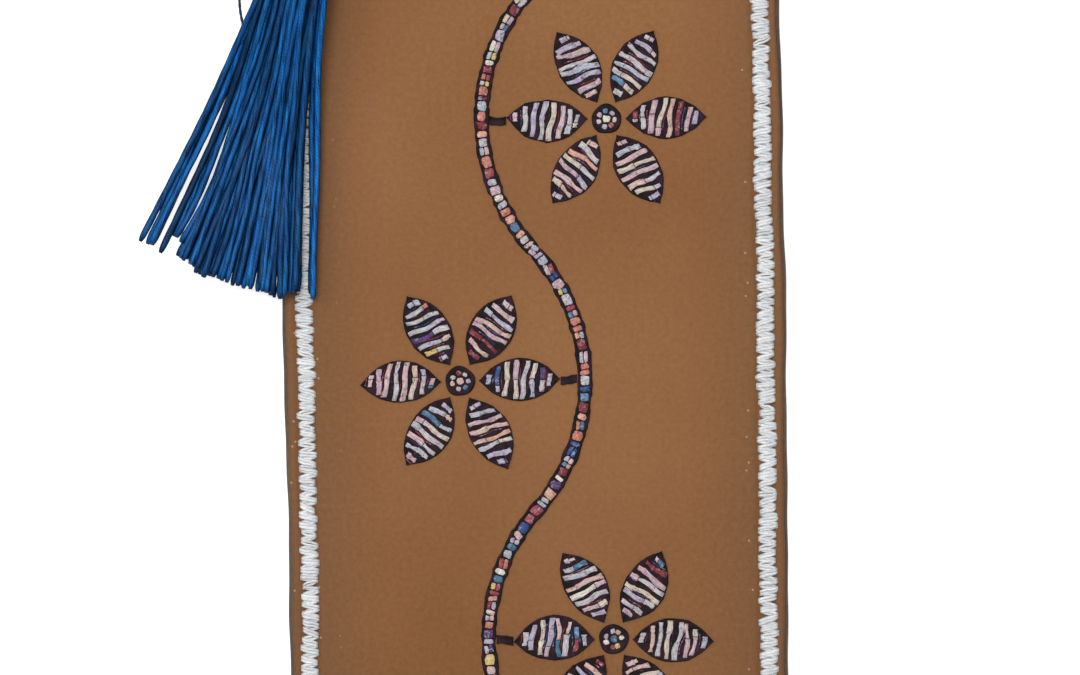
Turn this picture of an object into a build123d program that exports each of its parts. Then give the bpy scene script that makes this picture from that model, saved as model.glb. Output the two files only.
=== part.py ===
from build123d import *
import math
import os

# A bookmark of two leather layers with a zigzag seam, a paper collage on its face and a tassel on a cord.
# It lies face up: X runs across the width, Y along the length towards the tassel hole, Z up out of the face.
# The origin is the middle of the back face. All sizes are in millimetres and all angles in degrees.

# Leather layers
PANEL_LENGTH = 200.0
PANEL_WIDTH = 49.4
FRONT_THICKNESS = 1.0
BACKING_THICKNESS = 1.0
BACKING_OVERHANG = 0.4
CORNER_RADIUS = 3.0
EDGE_ROUNDING = 0.3

# Tassel hole, and the slot that lets the cord lie flush in the backing
HOLE_DIAMETER = 3.5
HOLE_FROM_TOP = 8.0
SLOT_CLEARANCE = 0.2

# Zigzag seam: needle thread on the face, bobbin thread in a groove of the backing
SEAM_MARGIN = 0.85
SEAM_WIDTH = 1.85
STITCH_STEP = 0.45
NEEDLE_THREAD = 0.5
NEEDLE_HEIGHT = 0.42
BOBBIN_THREAD = 0.4
BOBBIN_HEIGHT = 0.3
BOBBIN_RECESS = 0.05
GROOVE_CLEARANCE = 0.1
ROW_GAP = 0.1

# Collage: flowers on both sides of a waving stem, cut paper on a black ground
COLLAGE_MARGIN = 21.0
FLOWER_PITCH = 26.0
FLOWER_REACH = 10.0
PETAL_COUNT = 6
PETAL_GAP = 0.4
PETAL_WIDTH = 4.3
FLOWER_EYE = 3.0
WAVE_HEIGHT = 5.0
STEM_WIDTH = 1.5
STALK_LENGTH = 1.65
STALK_WIDTH = 0.9
STALK_GAP = 0.05
GROUND_THICKNESS = 0.15
PAPER_THICKNESS = 0.12
OUTLINE = 0.3
STRIP_WIDTH = 0.6
STRIP_GAP = 0.35
STRIP_SLANT = 8.0
BIT_LENGTH = 1.0
BIT_GAP = 0.25

# Tassel: placed by its knot, which is where it swings on the cord, from the left edge and the hole
KNOT_INSET = 5.9
KNOT_BELOW_HOLE = 48.3
TASSEL_LEAN = 14.5
SWING_CLEARANCE = 0.1
KNOT_RADIUS = 1.4
KNOT_SEAT = 0.6
KNOT_CLEARANCE = 0.1
HEAD_RADIUS = 4.0
NECK_RADIUS = 2.7
NECK_MARGIN = 0.225
BINDING_THREAD = 0.55
BINDING_SPACE = 0.45
BINDING_TURNS = 3
BINDING_CLEARANCE = 0.05
SKIRT_LENGTH = 36.0
SKIRT_HALF_WIDTH = 9.3
SKIRT_SLICE = 0.8
STRAND_DIAMETER = 0.7
STRAND_TIP_DIAMETER = 1.0
STRAND_SPACE = 0.04
STRAND_SIDES = 6
FLARE_POWER = 1.15
SWELL_POWER = 3
SETTLED_AT = 0.6
STRAND_STATIONS = (0.0, 0.12, 0.25, 0.4, 0.6, 1.0)
STRAY_DIAMETER = 0.3

# Hanging cord
CORD_DIAMETER = 0.9
CORD_GAP = 0.05

# Levels and places that follow from the sizes above
FACE = BACKING_THICKNESS + FRONT_THICKNESS
SEAM_TOP = FACE + NEEDLE_HEIGHT
SEAM_X = PANEL_WIDTH / 2 - SEAM_MARGIN - SEAM_WIDTH / 2
SEAM_Y = PANEL_LENGTH / 2 - SEAM_MARGIN - SEAM_WIDTH / 2
HOLE_Y = PANEL_LENGTH / 2 - HOLE_FROM_TOP
KNOT_X = KNOT_INSET - PANEL_WIDTH / 2
KNOT_Y = HOLE_Y - KNOT_BELOW_HOLE
SLOT_WIDTH = CORD_DIAMETER + 2 * SLOT_CLEARANCE
SLOT_DEPTH = CORD_DIAMETER + 2 * CORD_GAP
GROOVE_DEPTH = BOBBIN_RECESS + BOBBIN_HEIGHT
TASSEL_FLOOR = SEAM_TOP + SWING_CLEARANCE
TASSEL_AXIS = TASSEL_FLOOR + HEAD_RADIUS
HEAD_CENTRE = KNOT_RADIUS - KNOT_SEAT + HEAD_RADIUS
NECK_START = HEAD_CENTRE + math.sqrt(HEAD_RADIUS**2 - NECK_RADIUS**2)
BINDING_PITCH = BINDING_THREAD + BINDING_SPACE
NECK_LENGTH = BINDING_TURNS * BINDING_PITCH + BINDING_THREAD + 2 * NECK_MARGIN
NECK_END = NECK_START + NECK_LENGTH
STRAND_PITCH = STRAND_DIAMETER + STRAND_SPACE
STRAND_ROOM = NECK_RADIUS - STRAND_DIAMETER / 2
TIP_FLARE = SKIRT_HALF_WIDTH / STRAND_ROOM
TIP_SPACING = STRAND_PITCH / 4 * TIP_FLARE
NESTED = max(STRAND_TIP_DIAMETER**2 - TIP_SPACING**2, (STRAND_TIP_DIAMETER / 2) ** 2)
LAYER_STEP = math.sqrt(NESTED) + STRAND_SPACE
FLOWER_COUNT = int((PANEL_LENGTH - 2 * COLLAGE_MARGIN) / FLOWER_PITCH)
FLOWER_OFFSET = FLOWER_REACH + STALK_LENGTH + 2 * STALK_GAP - WAVE_HEIGHT + STEM_WIDTH / 2
PETAL_START = FLOWER_EYE / 2 + PETAL_GAP

# The tassel's own frame: origin at the knot, Z from the knot to the strand tips, Y up, X across.
LEAN = math.radians(TASSEL_LEAN)
TASSEL_FRAME = Plane(
    origin=(KNOT_X, KNOT_Y, TASSEL_AXIS),
    x_dir=(math.cos(LEAN), -math.sin(LEAN), 0),
    z_dir=(-math.sin(LEAN), -math.cos(LEAN), 0),
)


# Leather layers


def hole_cut():
    """The punched tassel hole, through both layers."""
    return Pos(0, HOLE_Y, 0) * Cylinder(HOLE_DIAMETER / 2, 3 * FACE)


def cord_slot():
    """The channel along the back, from the hole out past the top edge, in which the cord lies flush."""
    length = PANEL_LENGTH / 2 + 2 * BACKING_OVERHANG - HOLE_Y
    outline = Pos(0, HOLE_Y + length / 2, 0) * Rectangle(SLOT_WIDTH, length)
    return extrude(outline, SLOT_DEPTH)


def front_leather():
    """The face layer, with its upper rim rounded over. The slot only reaches it where the backing is thin."""
    outline = RectangleRounded(PANEL_WIDTH, PANEL_LENGTH, CORNER_RADIUS)
    layer = extrude(Pos(0, 0, BACKING_THICKNESS) * outline, FRONT_THICKNESS)
    rim = layer.edges().group_by(Axis.Z)[-1]
    return fillet(rim, EDGE_ROUNDING) - hole_cut() - cord_slot()


def seam_frame(width):
    """The band, as wide as given, that a seam takes all round the panel."""
    outer = Rectangle(2 * SEAM_X + width, 2 * SEAM_Y + width)
    inner = Rectangle(2 * SEAM_X - width, 2 * SEAM_Y - width)
    return outer - inner


def backing_leather():
    """The back layer: a little larger, grooved for the bobbin thread and slotted for the cord."""
    width = PANEL_WIDTH + 2 * BACKING_OVERHANG
    length = PANEL_LENGTH + 2 * BACKING_OVERHANG
    outline = RectangleRounded(width, length, CORNER_RADIUS + BACKING_OVERHANG)
    groove = extrude(seam_frame(SEAM_WIDTH + 2 * GROOVE_CLEARANCE), GROOVE_DEPTH)
    return extrude(outline, BACKING_THICKNESS) - groove - cord_slot() - hole_cut()


# Seam threads


def zigzag_outline(run, thread):
    """Outline of a thread that crosses the seam's width at each stitch, along Y and centred.

    Each turn is cut off square at the seam's side, and the notch behind it is where two stitches part.
    """
    reach = (SEAM_WIDTH - thread) / 2
    count = max(2, round(run / STITCH_STEP))
    rise = run / (count + 1)
    stitch = math.hypot(2 * reach, rise)
    mitre = thread / 2 * stitch / rise
    flat = max(0.05, (reach + mitre - SEAM_WIDTH / 2) * rise / (2 * reach))
    right, left = [], []
    for k in range(count + 1):
        y = (k - count / 2) * rise
        turn, notch = (right, left) if k % 2 == 0 else (left, right)
        side = 1 if k % 2 == 0 else -1
        turn += [(side * SEAM_WIDTH / 2, y - flat), (side * SEAM_WIDTH / 2, y + flat)]
        notch.append((side * (reach - mitre), y))
    return make_face(Polyline(*right, *reversed(left), close=True))


def seam_row(run, thread, height, x, y, z, along_y=True):
    """One straight row of zigzag thread, centred on x and y, with its underside at z."""
    turned = Rot(0, 0, 0 if along_y else 90)
    return Pos(x, y, z) * turned * extrude(zigzag_outline(run, thread), height)


def seam_threads():
    """Needle and bobbin threads of the four sides; the bobbin leaves the cord's slot free at the top."""
    long_run = 2 * SEAM_Y + SEAM_WIDTH
    short_run = 2 * SEAM_X - SEAM_WIDTH - 2 * ROW_GAP
    half_run = short_run / 2 - SLOT_WIDTH / 2 - ROW_GAP
    half_x = (short_run / 2 + SLOT_WIDTH / 2 + ROW_GAP) / 2
    needle = (NEEDLE_THREAD, NEEDLE_HEIGHT)
    bobbin = (BOBBIN_THREAD, BOBBIN_HEIGHT)
    top_halves = [
        seam_row(half_run, *bobbin, side * half_x, SEAM_Y, BOBBIN_RECESS, False) for side in (-1, 1)
    ]
    return {
        "seam_left": seam_row(long_run, *needle, -SEAM_X, 0, FACE),
        "seam_right": seam_row(long_run, *needle, SEAM_X, 0, FACE),
        "seam_top": seam_row(short_run, *needle, 0, SEAM_Y, FACE, False),
        "seam_bottom": seam_row(short_run, *needle, 0, -SEAM_Y, FACE, False),
        "bobbin_left": seam_row(long_run, *bobbin, -SEAM_X, 0, BOBBIN_RECESS),
        "bobbin_right": seam_row(long_run, *bobbin, SEAM_X, 0, BOBBIN_RECESS),
        "bobbin_top": Compound(children=top_halves),
        "bobbin_bottom": seam_row(short_run, *bobbin, 0, -SEAM_Y, BOBBIN_RECESS, False),
    }


# Collage


def petal_half_width(along):
    """Half the width of a petal at a distance from its inner tip: two equal arcs that meet at the tips."""
    length = FLOWER_REACH - PETAL_START
    radius = (length**2 + PETAL_WIDTH**2) / (4 * PETAL_WIDTH)
    return math.sqrt(radius**2 - (along - length / 2) ** 2) - (radius - PETAL_WIDTH / 2)


def petal_ground():
    """The black ground of one petal, pointing along X."""
    middle = (PETAL_START + FLOWER_REACH) / 2
    upper = ThreePointArc((PETAL_START, 0), (middle, PETAL_WIDTH / 2), (FLOWER_REACH, 0))
    lower = ThreePointArc((FLOWER_REACH, 0), (middle, -PETAL_WIDTH / 2), (PETAL_START, 0))
    return extrude(Pos(0, 0, FACE) * make_face(upper + lower), GROUND_THICKNESS)


def petal_strips():
    """Paper strips across one petal, inside the black outline that the ground leaves."""
    length = FLOWER_REACH - PETAL_START
    slope = math.tan(math.radians(STRIP_SLANT))
    usable = length - 4 * OUTLINE - STRIP_WIDTH
    pitch = STRIP_WIDTH + STRIP_GAP
    count = int(usable / pitch) + 1
    strips = []
    for k in range(count):
        centre = length / 2 + (k - (count - 1) / 2) * pitch
        corners = []
        for edge, side in ((-1, -1), (1, -1), (1, 1), (-1, 1)):
            along = centre + edge * STRIP_WIDTH / 2
            half = petal_half_width(along) - OUTLINE
            along += side * half * slope
            half = min(half, petal_half_width(along) - OUTLINE)
            corners.append((PETAL_START + along, side * half))
        strips.append(make_face(Polyline(*corners, close=True)))
    return [extrude(Pos(0, 0, FACE + GROUND_THICKNESS) * s, PAPER_THICKNESS) for s in strips]


def flower(number):
    """Ground and paper of one flower. Flowers take turns on the left and right of the stem."""
    side = -1 if number % 2 == 0 else 1
    y = (number - (FLOWER_COUNT - 1) / 2) * FLOWER_PITCH
    place = Pos(side * FLOWER_OFFSET, y, 0)
    eye = Pos(0, 0, FACE) * extrude(Circle(FLOWER_EYE / 2), GROUND_THICKNESS)
    eye_disc = Circle(FLOWER_EYE / 2 - OUTLINE)
    eye_paper = Pos(0, 0, FACE + GROUND_THICKNESS) * extrude(eye_disc, PAPER_THICKNESS)
    ground, paper = [place * eye], [place * eye_paper]
    for k in range(PETAL_COUNT):
        turn = place * Rot(0, 0, k * 360 / PETAL_COUNT)
        ground.append(turn * petal_ground())
        paper += [turn * strip for strip in petal_strips()]
    return Compound(children=ground), Compound(children=paper)


def stem_line():
    """The stem's centre line: one arc for each flower, bulging away from it."""
    arcs = []
    for k in range(FLOWER_COUNT):
        bulge = WAVE_HEIGHT if k % 2 == 0 else -WAVE_HEIGHT
        low = (k - FLOWER_COUNT / 2) * FLOWER_PITCH
        middle = (bulge, low + FLOWER_PITCH / 2)
        arcs.append(ThreePointArc((0, low), middle, (0, low + FLOWER_PITCH)))
    return Wire(arcs)


def stem():
    """Black ground and paper bits of the stem, with a short stalk to each flower."""
    line = stem_line()
    band = make_face(line.offset_2d(STEM_WIDTH / 2, kind=Kind.ARC, side=Side.BOTH))
    ground = [extrude(Pos(0, 0, FACE) * band, GROUND_THICKNESS)]
    stalk_x = WAVE_HEIGHT - STEM_WIDTH / 2 - STALK_GAP - STALK_LENGTH / 2
    for k in range(FLOWER_COUNT):
        side = 1 if k % 2 == 0 else -1
        y = (k - (FLOWER_COUNT - 1) / 2) * FLOWER_PITCH
        stalk = Pos(side * stalk_x, y, FACE) * Rectangle(STALK_LENGTH, STALK_WIDTH)
        ground.append(extrude(stalk, GROUND_THICKNESS))
    count = int(line.length / (BIT_LENGTH + BIT_GAP))
    bit_width = STEM_WIDTH - 2 * OUTLINE
    bits = []
    for k in range(count):
        share = (k + 0.5) / count
        point, heading = line @ share, line % share
        angle = math.degrees(math.atan2(heading.Y, heading.X))
        place = Pos(point.X, point.Y, FACE + GROUND_THICKNESS) * Rot(0, 0, angle)
        bits.append(extrude(place * Rectangle(BIT_LENGTH, bit_width), PAPER_THICKNESS))
    return Compound(children=ground), Compound(children=bits)


# Tassel


def cord_knot():
    """The knot of the cord's two ends, which nests in the head and is the point it swings on."""
    return TASSEL_FRAME * Sphere(KNOT_RADIUS)


def tassel_head():
    """The ball of folded strands and its neck, hollowed at the top for the knot."""
    neck_length = NECK_END - SKIRT_SLICE - HEAD_CENTRE
    neck = Pos(0, 0, HEAD_CENTRE + neck_length / 2) * Cylinder(NECK_RADIUS, neck_length)
    ball = Pos(0, 0, HEAD_CENTRE) * Sphere(HEAD_RADIUS)
    return TASSEL_FRAME * (ball + neck - Sphere(KNOT_RADIUS + KNOT_CLEARANCE))


def biarc(start, start_way, end, end_way):
    """Two arcs that leave start along start_way, meet smoothly and reach end along end_way."""
    across, ways = end - start, start_way + end_way
    bend = 2 * (1 - start_way.dot(end_way))
    along = across.dot(ways)
    reach = (math.sqrt(along**2 + bend * across.dot(across)) - along) / bend
    middle = (start + start_way * reach + end - end_way * reach) * 0.5
    middle_way = (end - end_way * reach - start - start_way * reach).normalized()
    return [
        Edge.make_tangent_arc(start, start_way, middle),
        Edge.make_tangent_arc(middle, middle_way, end),
    ]


def neck_binding():
    """The thread wound round the neck: one open tube of a few turns, in arcs of a quarter turn."""
    radius = NECK_RADIUS + BINDING_CLEARANCE + BINDING_THREAD / 2
    pitch = BINDING_PITCH
    first = (NECK_START + NECK_END - BINDING_TURNS * pitch) / 2

    def place(turns):
        angle = 2 * math.pi * turns
        return Vector(radius * math.cos(angle), radius * math.sin(angle), first + pitch * turns)

    def way(turns):
        angle = 2 * math.pi * turns
        circle = 2 * math.pi * radius
        return Vector(-circle * math.sin(angle), circle * math.cos(angle), pitch).normalized()

    quarters = [k / 4 for k in range(4 * BINDING_TURNS + 1)]
    edges = [Edge.make_line(place(0) - way(0) * BINDING_THREAD, place(0))]
    for a, b in zip(quarters, quarters[1:]):
        edges += biarc(place(a), way(a), place(b), way(b))
    last = place(BINDING_TURNS)
    edges.append(Edge.make_line(last, last + way(BINDING_TURNS) * BINDING_THREAD))
    samples = [place(k / 60) for k in range(60 * BINDING_TURNS + 1)]
    gap = min((a - b).length for i, a in enumerate(samples) for b in samples[i + 40 :]) - BINDING_THREAD
    print("binding: least gap to itself", round(gap, 3))
    path = Wire(edges)
    return TASSEL_FRAME * sweep(Plane(path @ 0, z_dir=path % 0) * Circle(BINDING_THREAD / 2), path)


def strand_starts():
    """Places of the strands in the neck, in rows that sit in each other's hollows: (x, row), lowest row 0."""
    row_step = STRAND_PITCH * math.sqrt(3) / 2
    rows = 2 * int(STRAND_ROOM / row_step + 0.5)
    starts = []
    for row in range(rows):
        y = (row - (rows - 1) / 2) * row_step
        half = math.sqrt(max(0.0, STRAND_ROOM**2 - y**2))
        phase = 0.5 if row % 2 else 0.0
        least = math.ceil(-half / STRAND_PITCH - phase)
        most = math.floor(half / STRAND_PITCH - phase)
        starts += [((k + phase) * STRAND_PITCH, row) for k in range(least, most + 1)]
    return starts, rows, row_step


def strand_centre(x, row, rows, row_step, share):
    """Centre of a strand at a share of the skirt's length, in the tassel's frame.

    Strands fan out sideways by a power of the share. Two rows at a time settle into one layer, and every
    other layer shifts by a quarter pitch, so that its strands lie between those below.
    """
    flare = 1 + (TIP_FLARE - 1) * share**FLARE_POWER
    settle = min(1.0, share / SETTLED_AT)
    settle = settle * settle * (3 - 2 * settle)
    layer = row // 2
    shift = STRAND_PITCH / 4 * settle if layer % 2 else 0.0
    high = (row - (rows - 1) / 2) * row_step
    low = STRAND_TIP_DIAMETER / 2 - HEAD_RADIUS + layer * LAYER_STEP
    return (x + shift) * flare, high + (low - high) * settle


def strand_radius(share):
    """Half a strand's thickness: the yarn is bound tight at the neck and swells towards its cut tip."""
    return (STRAND_DIAMETER + (STRAND_TIP_DIAMETER - STRAND_DIAMETER) * share**SWELL_POWER) / 2


def tassel_skirt():
    """The hanging strands, joined in a slice of the neck as the binding joins them."""
    starts, rows, row_step = strand_starts()
    strands = []
    for x, row in starts:
        sections = []
        for share in STRAND_STATIONS:
            along = NECK_END + share * SKIRT_LENGTH - (SKIRT_SLICE / 2 if share == 0 else 0)
            across, up = strand_centre(x, row, rows, row_step, share)
            ring = Pos(across, up, along) * RegularPolygon(strand_radius(share), STRAND_SIDES)
            sections.append(ring.wire())
        strands.append(Solid.make_loft(sections, ruled=True))
    slice_of_neck = Pos(0, 0, NECK_END - SKIRT_SLICE / 2) * Cylinder(NECK_RADIUS, SKIRT_SLICE)
    return TASSEL_FRAME * slice_of_neck.solid().fuse(*strands)


# Cords


def smooth_path(points, tight):
    """Straight runs joined by arcs as large as the runs allow; the corners in tight have their own radius."""
    places = [Vector(*p) for p in points]
    radii = []
    for k in range(1, len(places) - 1):
        before, after = places[k] - places[k - 1], places[k + 1] - places[k]
        half_turn = math.radians(before.get_angle(after)) / 2
        roomy = 0.45 * min(before.length, after.length) / math.tan(half_turn)
        radii.append(tight.get(k, roomy))
    print("cord radii", [round(r, 1) for r in radii])
    return FilletPolyline(*places, radius=radii)


def tube(path, diameter):
    """A round tube along a path; prints its volume beside its section times its length."""
    solid = sweep(Plane(path @ 0, z_dir=path % 0) * Circle(diameter / 2), path)
    expected = math.pi * diameter**2 / 4 * path.length
    print("tube length", round(path.length, 2))
    print("tube volume", round(solid.volume, 3), "expected", round(expected, 3))
    return solid


def hanging_cord():
    """The cord loop: from the knot down the hole, along the slot, over the top edge and back to the knot."""
    radius = CORD_DIAMETER / 2
    low = FACE + CORD_GAP + radius
    over = SEAM_TOP + CORD_GAP + radius
    under = CORD_GAP + radius
    dive_y = HOLE_Y + HOLE_DIAMETER / 2 - CORD_DIAMETER
    edge_y = PANEL_LENGTH / 2 + BACKING_OVERHANG + CORD_DIAMETER
    knot = (KNOT_X, KNOT_Y, TASSEL_AXIS)

    def from_knot(x, y, z):
        return (knot[0] + x, knot[1] + y, z)

    going_up = [
        from_knot(-0.5, 0.2, TASSEL_AXIS),
        from_knot(1.2, 5.2, TASSEL_AXIS - 0.7),
        from_knot(3.6, 12.2, low + 0.8),
        from_knot(7.0, 21.6, low),
        from_knot(10.6, 31.0, low),
        (-3.3, HOLE_Y - 7.2, low),
        (0.0, dive_y, low),
    ]
    round_the_edge = [(0.0, dive_y, under), (0.0, edge_y, under), (0.0, edge_y, over)]
    coming_down = [
        (1.0, HOLE_Y + 3.6, over),
        (1.3, HOLE_Y - 2.6, low),
        (-0.6, HOLE_Y - 9.6, low),
        from_knot(13.6, 31.2, low),
        from_knot(9.2, 21.0, low),
        from_knot(5.0, 11.6, low + 0.8),
        from_knot(2.3, 4.8, TASSEL_AXIS - 0.7),
        from_knot(0.5, -0.2, TASSEL_AXIS),
    ]
    first_corner = len(going_up) - 1
    tight = {first_corner + k: CORD_DIAMETER for k in range(4)}
    return tube(smooth_path(going_up + round_the_edge + coming_down, tight), CORD_DIAMETER)


def stray_thread():
    """A loose end of the binding that bows out beside the skirt and tucks in under its edge."""
    side = NECK_RADIUS + BINDING_CLEARANCE + BINDING_THREAD
    bed = -HEAD_RADIUS
    points = [
        (-side + 0.3, bed + 3.5, NECK_END + 0.4),
        (-side - 1.0, bed + 2.6, NECK_END + 1.6),
        (-side - 2.2, bed + 1.6, NECK_END + 3.6),
        (-side - 2.5, bed + 0.9, NECK_END + 6.2),
        (-side - 1.9, bed + 0.5, NECK_END + 8.8),
    ]
    return TASSEL_FRAME * tube(smooth_path(points, {}), STRAY_DIAMETER)


def build():
    """Every sub-part by its node name."""
    parts = {"front_leather": front_leather(), "backing_leather": backing_leather()}
    parts.update(seam_threads())
    for number in range(FLOWER_COUNT):
        ground, paper = flower(number)
        parts[f"flower_{number + 1}_ground"] = ground
        parts[f"flower_{number + 1}_paper"] = paper
    parts["stem_ground"], parts["stem_paper"] = stem()
    parts["hanging_cord"] = hanging_cord()
    parts["cord_knot"] = cord_knot()
    parts["tassel_head"] = tassel_head()
    parts["neck_binding"] = neck_binding()
    parts["tassel_skirt"] = tassel_skirt()
    parts["stray_thread"] = stray_thread()
    return parts


os.makedirs("parts", exist_ok=True)
for name, shape in build().items():
    export_step(shape, os.path.join("parts", name + ".step"))
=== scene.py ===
"""Looks of a leather bookmark with a zigzag seam, a paper collage and a corded tassel, round its CAD frame.

The bookmark lies face up: X runs across it, Y towards the tassel hole, Z out of the face. Shapes are worked
out in millimetres and put into meshes in metres.
"""

import math
from functools import partial

import bpy
import numpy as np
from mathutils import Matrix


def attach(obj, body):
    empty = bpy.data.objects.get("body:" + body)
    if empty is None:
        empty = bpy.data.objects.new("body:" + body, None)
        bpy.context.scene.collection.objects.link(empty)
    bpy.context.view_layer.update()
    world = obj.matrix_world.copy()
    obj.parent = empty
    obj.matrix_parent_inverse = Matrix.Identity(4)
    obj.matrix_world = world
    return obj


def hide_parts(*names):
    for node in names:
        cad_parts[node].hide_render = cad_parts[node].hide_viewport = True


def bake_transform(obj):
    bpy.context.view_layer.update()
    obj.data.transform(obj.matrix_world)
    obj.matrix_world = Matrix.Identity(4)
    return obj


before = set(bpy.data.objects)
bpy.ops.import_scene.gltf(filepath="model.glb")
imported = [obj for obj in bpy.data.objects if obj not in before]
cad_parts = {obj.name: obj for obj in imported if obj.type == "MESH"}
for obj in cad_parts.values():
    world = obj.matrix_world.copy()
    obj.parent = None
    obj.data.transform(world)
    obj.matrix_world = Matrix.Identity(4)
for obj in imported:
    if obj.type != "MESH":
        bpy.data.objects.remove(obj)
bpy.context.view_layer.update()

MM = 0.001
TURN = 2 * math.pi
ACROSS, LENGTHWISE, UP = np.eye(3)

# Sizes of the part, in mm
HALF_WIDTH, HALF_LENGTH, CORNER, OVERHANG = 24.7, 100.0, 3.0, 0.4
MIDDLE, FACE = 1.0, 2.0
SEAM_X, SEAM_Y, SEAM_WIDTH, STITCH_STEP = 22.925, 98.225, 1.85, 0.45
HOLE_Y, HOLE_RADIUS, SLOT_WIDTH, SLOT_DEPTH = 92.0, 1.75, 1.3, 1.0
KNOT = np.array([-18.8, 43.7, 6.52])
LEAN = math.radians(14.5)
HEAD_CENTRE, HEAD_RADIUS, NECK_RADIUS, NECK_START, NECK_END = 4.8, 4.0, 2.7, 7.751, 11.751
SKIRT_LENGTH, BED = 36.0, -4.0
FLOWER_COUNT, FLOWER_PITCH, FLOWER_OFFSET, FLOWER_REACH = 6, 26.0, 7.5, 10.0
PETAL_COUNT, PETAL_START, PETAL_WIDTH = 6, 1.9, 4.3
STRIP_COUNT, STRIP_PITCH, STRIP_SLANT = 8, 0.88, math.radians(8)
STEM_HALF, WAVE_HEIGHT, STALK_LENGTH, STALK_HALF, STALK_GAP = 0.75, 5.0, 1.65, 0.42, 0.05

# The way round yarn and thread in their maps, in mm, and the step from one length's map to the next
YARN_AROUND, THREAD_AROUND, MAP_STEP = 2.5, 1.2, 11.7

# Emission of the table where it is seen, and strength of the room's light
TABLE_GLOW, ROOM_LIGHT = 0.57, 0.42


# Materials


def srgb(code):
    """Linear colour of an sRGB hex value."""
    parts = np.array([int(code[k : k + 2], 16) for k in (1, 3, 5)]) / 255
    linear = np.where(parts <= 0.04045, parts / 12.92, ((parts + 0.055) / 1.055) ** 2.4)
    return (*linear.tolist(), 1.0)


def node(tree, kind, inputs=(), **settings):
    """Adds one node and gives its outputs. Inputs are values for its sockets, or sockets to link to them.

    They go by name or number, or in a list in order: a MapRange takes the value, from low to high, to low to
    high. A Mix of colours has its factor at socket 0, its colours at 6 and 7 and its result at output 2.
    """
    made = tree.nodes.new("ShaderNode" + kind)
    for name, value in settings.items():
        setattr(made, name, value)
    for name, value in inputs.items() if isinstance(inputs, dict) else enumerate(inputs):
        if isinstance(value, bpy.types.NodeSocket):
            tree.links.new(value, made.inputs[name])
        else:
            made.inputs[name].default_value = value
    return made.outputs


def per(size):
    """Texture scale for a pattern of that size in mm, on coordinates in metres."""
    return 1000.0 / size


def start_material(name, **values):
    """A material with its shader's plain values set by name, and the node function for its tree."""
    material = bpy.data.materials.new(name)
    material.use_nodes = True
    shader = material.node_tree.nodes["Principled BSDF"]
    for socket, value in values.items():
        shader.inputs[socket.replace("_", " ")].default_value = value
    return material, partial(node, material.node_tree)


def finish(material, colour, pattern, strength, depth):
    """Gives a material its colour and the fine relief of a pattern, with its depth in mm."""
    tree = material.node_tree
    shader = tree.nodes["Principled BSDF"]
    relief = node(tree, "Bump", {"Height": pattern, "Strength": strength, "Distance": depth * MM})[0]
    tree.links.new(colour, shader.inputs["Base Color"])
    tree.links.new(relief, shader.inputs["Normal"])
    return material


def seen_share(add):
    """1 for rays that show the background: the camera's, and those by way of shine or glass. 0 for others."""
    path = add("LightPath")
    seen = add("Math", [path["Is Camera Ray"], path["Is Glossy Ray"]], operation="ADD")[0]
    return add("Math", [seen, path["Is Transmission Ray"]], operation="ADD", use_clamp=True)[0]


def face_leather():
    """Vegetable-tanned cowhide, smooth side: matte, with fine pores and soft clouds of brown.

    It is redder and darker from 10 mm in towards the cut edge, grey and worn towards the cut edge, a little
    paler towards the hole, and dotted with pale specks beside the seam.
    """
    material, add = start_material(
        "vegetable_tanned_leather", Roughness=0.6, IOR=1.45, Specular_IOR_Level=0.14
    )
    place = add("TexCoord")["Object"]
    inset = add("Attribute", attribute_name="inset")["Fac"]
    clouds = add("TexNoise", {"Vector": place, "Scale": per(34), "Detail": 3.0})["Fac"]
    cloud = add("MapRange", [clouds, 0.35, 0.65])[0]
    brown = add("Mix", {0: cloud, 6: srgb("#845833"), 7: srgb("#90633d")}, data_type="RGBA")[2]
    for outer, inner, code in ((10.0, 2.6, "#7a5437"), (0.24, 0.02, "#5d4a3a")):
        share = add("MapRange", [inset, outer, inner, 0.0, 0.8])[0]
        brown = add("Mix", {0: share, 6: brown, 7: srgb(code)}, data_type="RGBA")[2]
    grain = add("TexNoise", {"Vector": place, "Scale": per(0.5), "Detail": 4.0, "Roughness": 0.7})["Fac"]
    lengthwise = add("SeparateXYZ", [place])[1]
    for spread in ([grain, 0.3, 0.7, 0.88, 1.11], [lengthwise, -40 * MM, 30 * MM, 0.95, 1.09]):
        brown = add("VectorMath", {0: brown, "Scale": add("MapRange", spread)[0]}, operation="SCALE")[0]
    # About one cell in four holds a speck, 0.2 mm wide
    cells = add("TexVoronoi", {"Vector": place, "Scale": per(2.4)}, voronoi_dimensions="2D")
    speck = add("Math", [cells["Distance"], 0.045], operation="LESS_THAN")[0]
    picked = add("SeparateColor", [cells["Color"]])[0]
    rare = add("Math", [picked, 0.72], operation="GREATER_THAN")[0]
    for share in (rare, add("MapRange", [inset, 5.5, 3.2, 0.03, 0.6])[0]):
        speck = add("Math", [speck, share], operation="MULTIPLY")[0]
    brown = add("Mix", {0: speck, 6: brown, 7: srgb("#c9a98c")}, data_type="RGBA")[2]
    pores = add("TexVoronoi", {"Vector": place, "Scale": per(0.5)}, feature="SMOOTH_F1")["Distance"]
    uneven = add("Math", [grain, pores], operation="ADD")[0]
    return finish(material, brown, uneven, strength=0.35, depth=0.06)


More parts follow.
